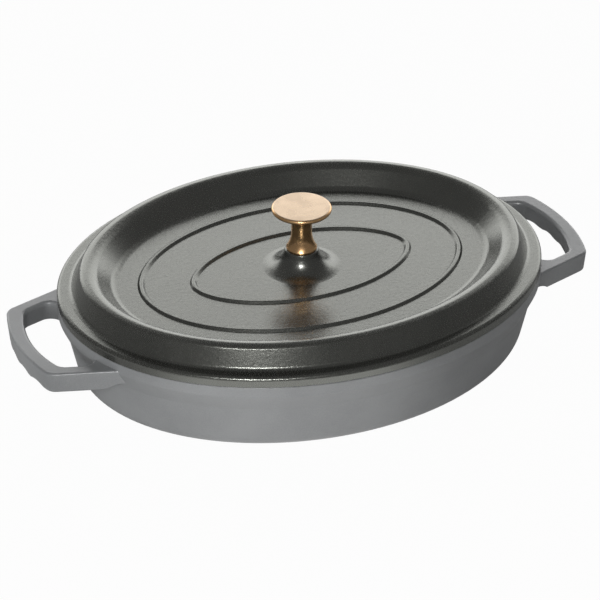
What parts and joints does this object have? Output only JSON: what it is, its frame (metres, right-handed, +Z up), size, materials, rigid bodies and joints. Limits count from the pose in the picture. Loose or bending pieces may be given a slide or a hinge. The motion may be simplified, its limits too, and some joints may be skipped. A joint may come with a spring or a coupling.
{
  "type": "roasting pan",
  "caption": "Oval cast-iron roasting pan with a loop handle at each end and a flanged lid with a sunken middle, oval ridges and a turned metal knob.",
  "frame": {"origin": "centre of the pan's foot, on the surface that it stands on", "axes": "+X along the pan's length from handle to handle, +Y across it, +Z up"},
  "size_m": [0.3978, 0.262, 0.1065],
  "materials": {
    "pan_enamel": "fine-grained dark grey satin enamel",
    "lid_enamel": "fine-grained dark grey satin enamel",
    "knob_metal": "polished rose-gold coloured plating",
    "washer_steel": "plain stainless steel",
    "screw_steel": "plain stainless steel"
  },
  "bodies": {
    "pan": {"pan": "pan_enamel"},
    "lid": {"lid": "lid_enamel", "knob": "knob_metal", "knob_washer": "washer_steel", "knob_screw": "screw_steel"}
  },
  "joints": [
    {"name": "lid_lift", "type": "slide", "parent": "pan", "child": "lid", "axis": [0, 0, 1], "range_m": [0, 0.15]}
  ]
}
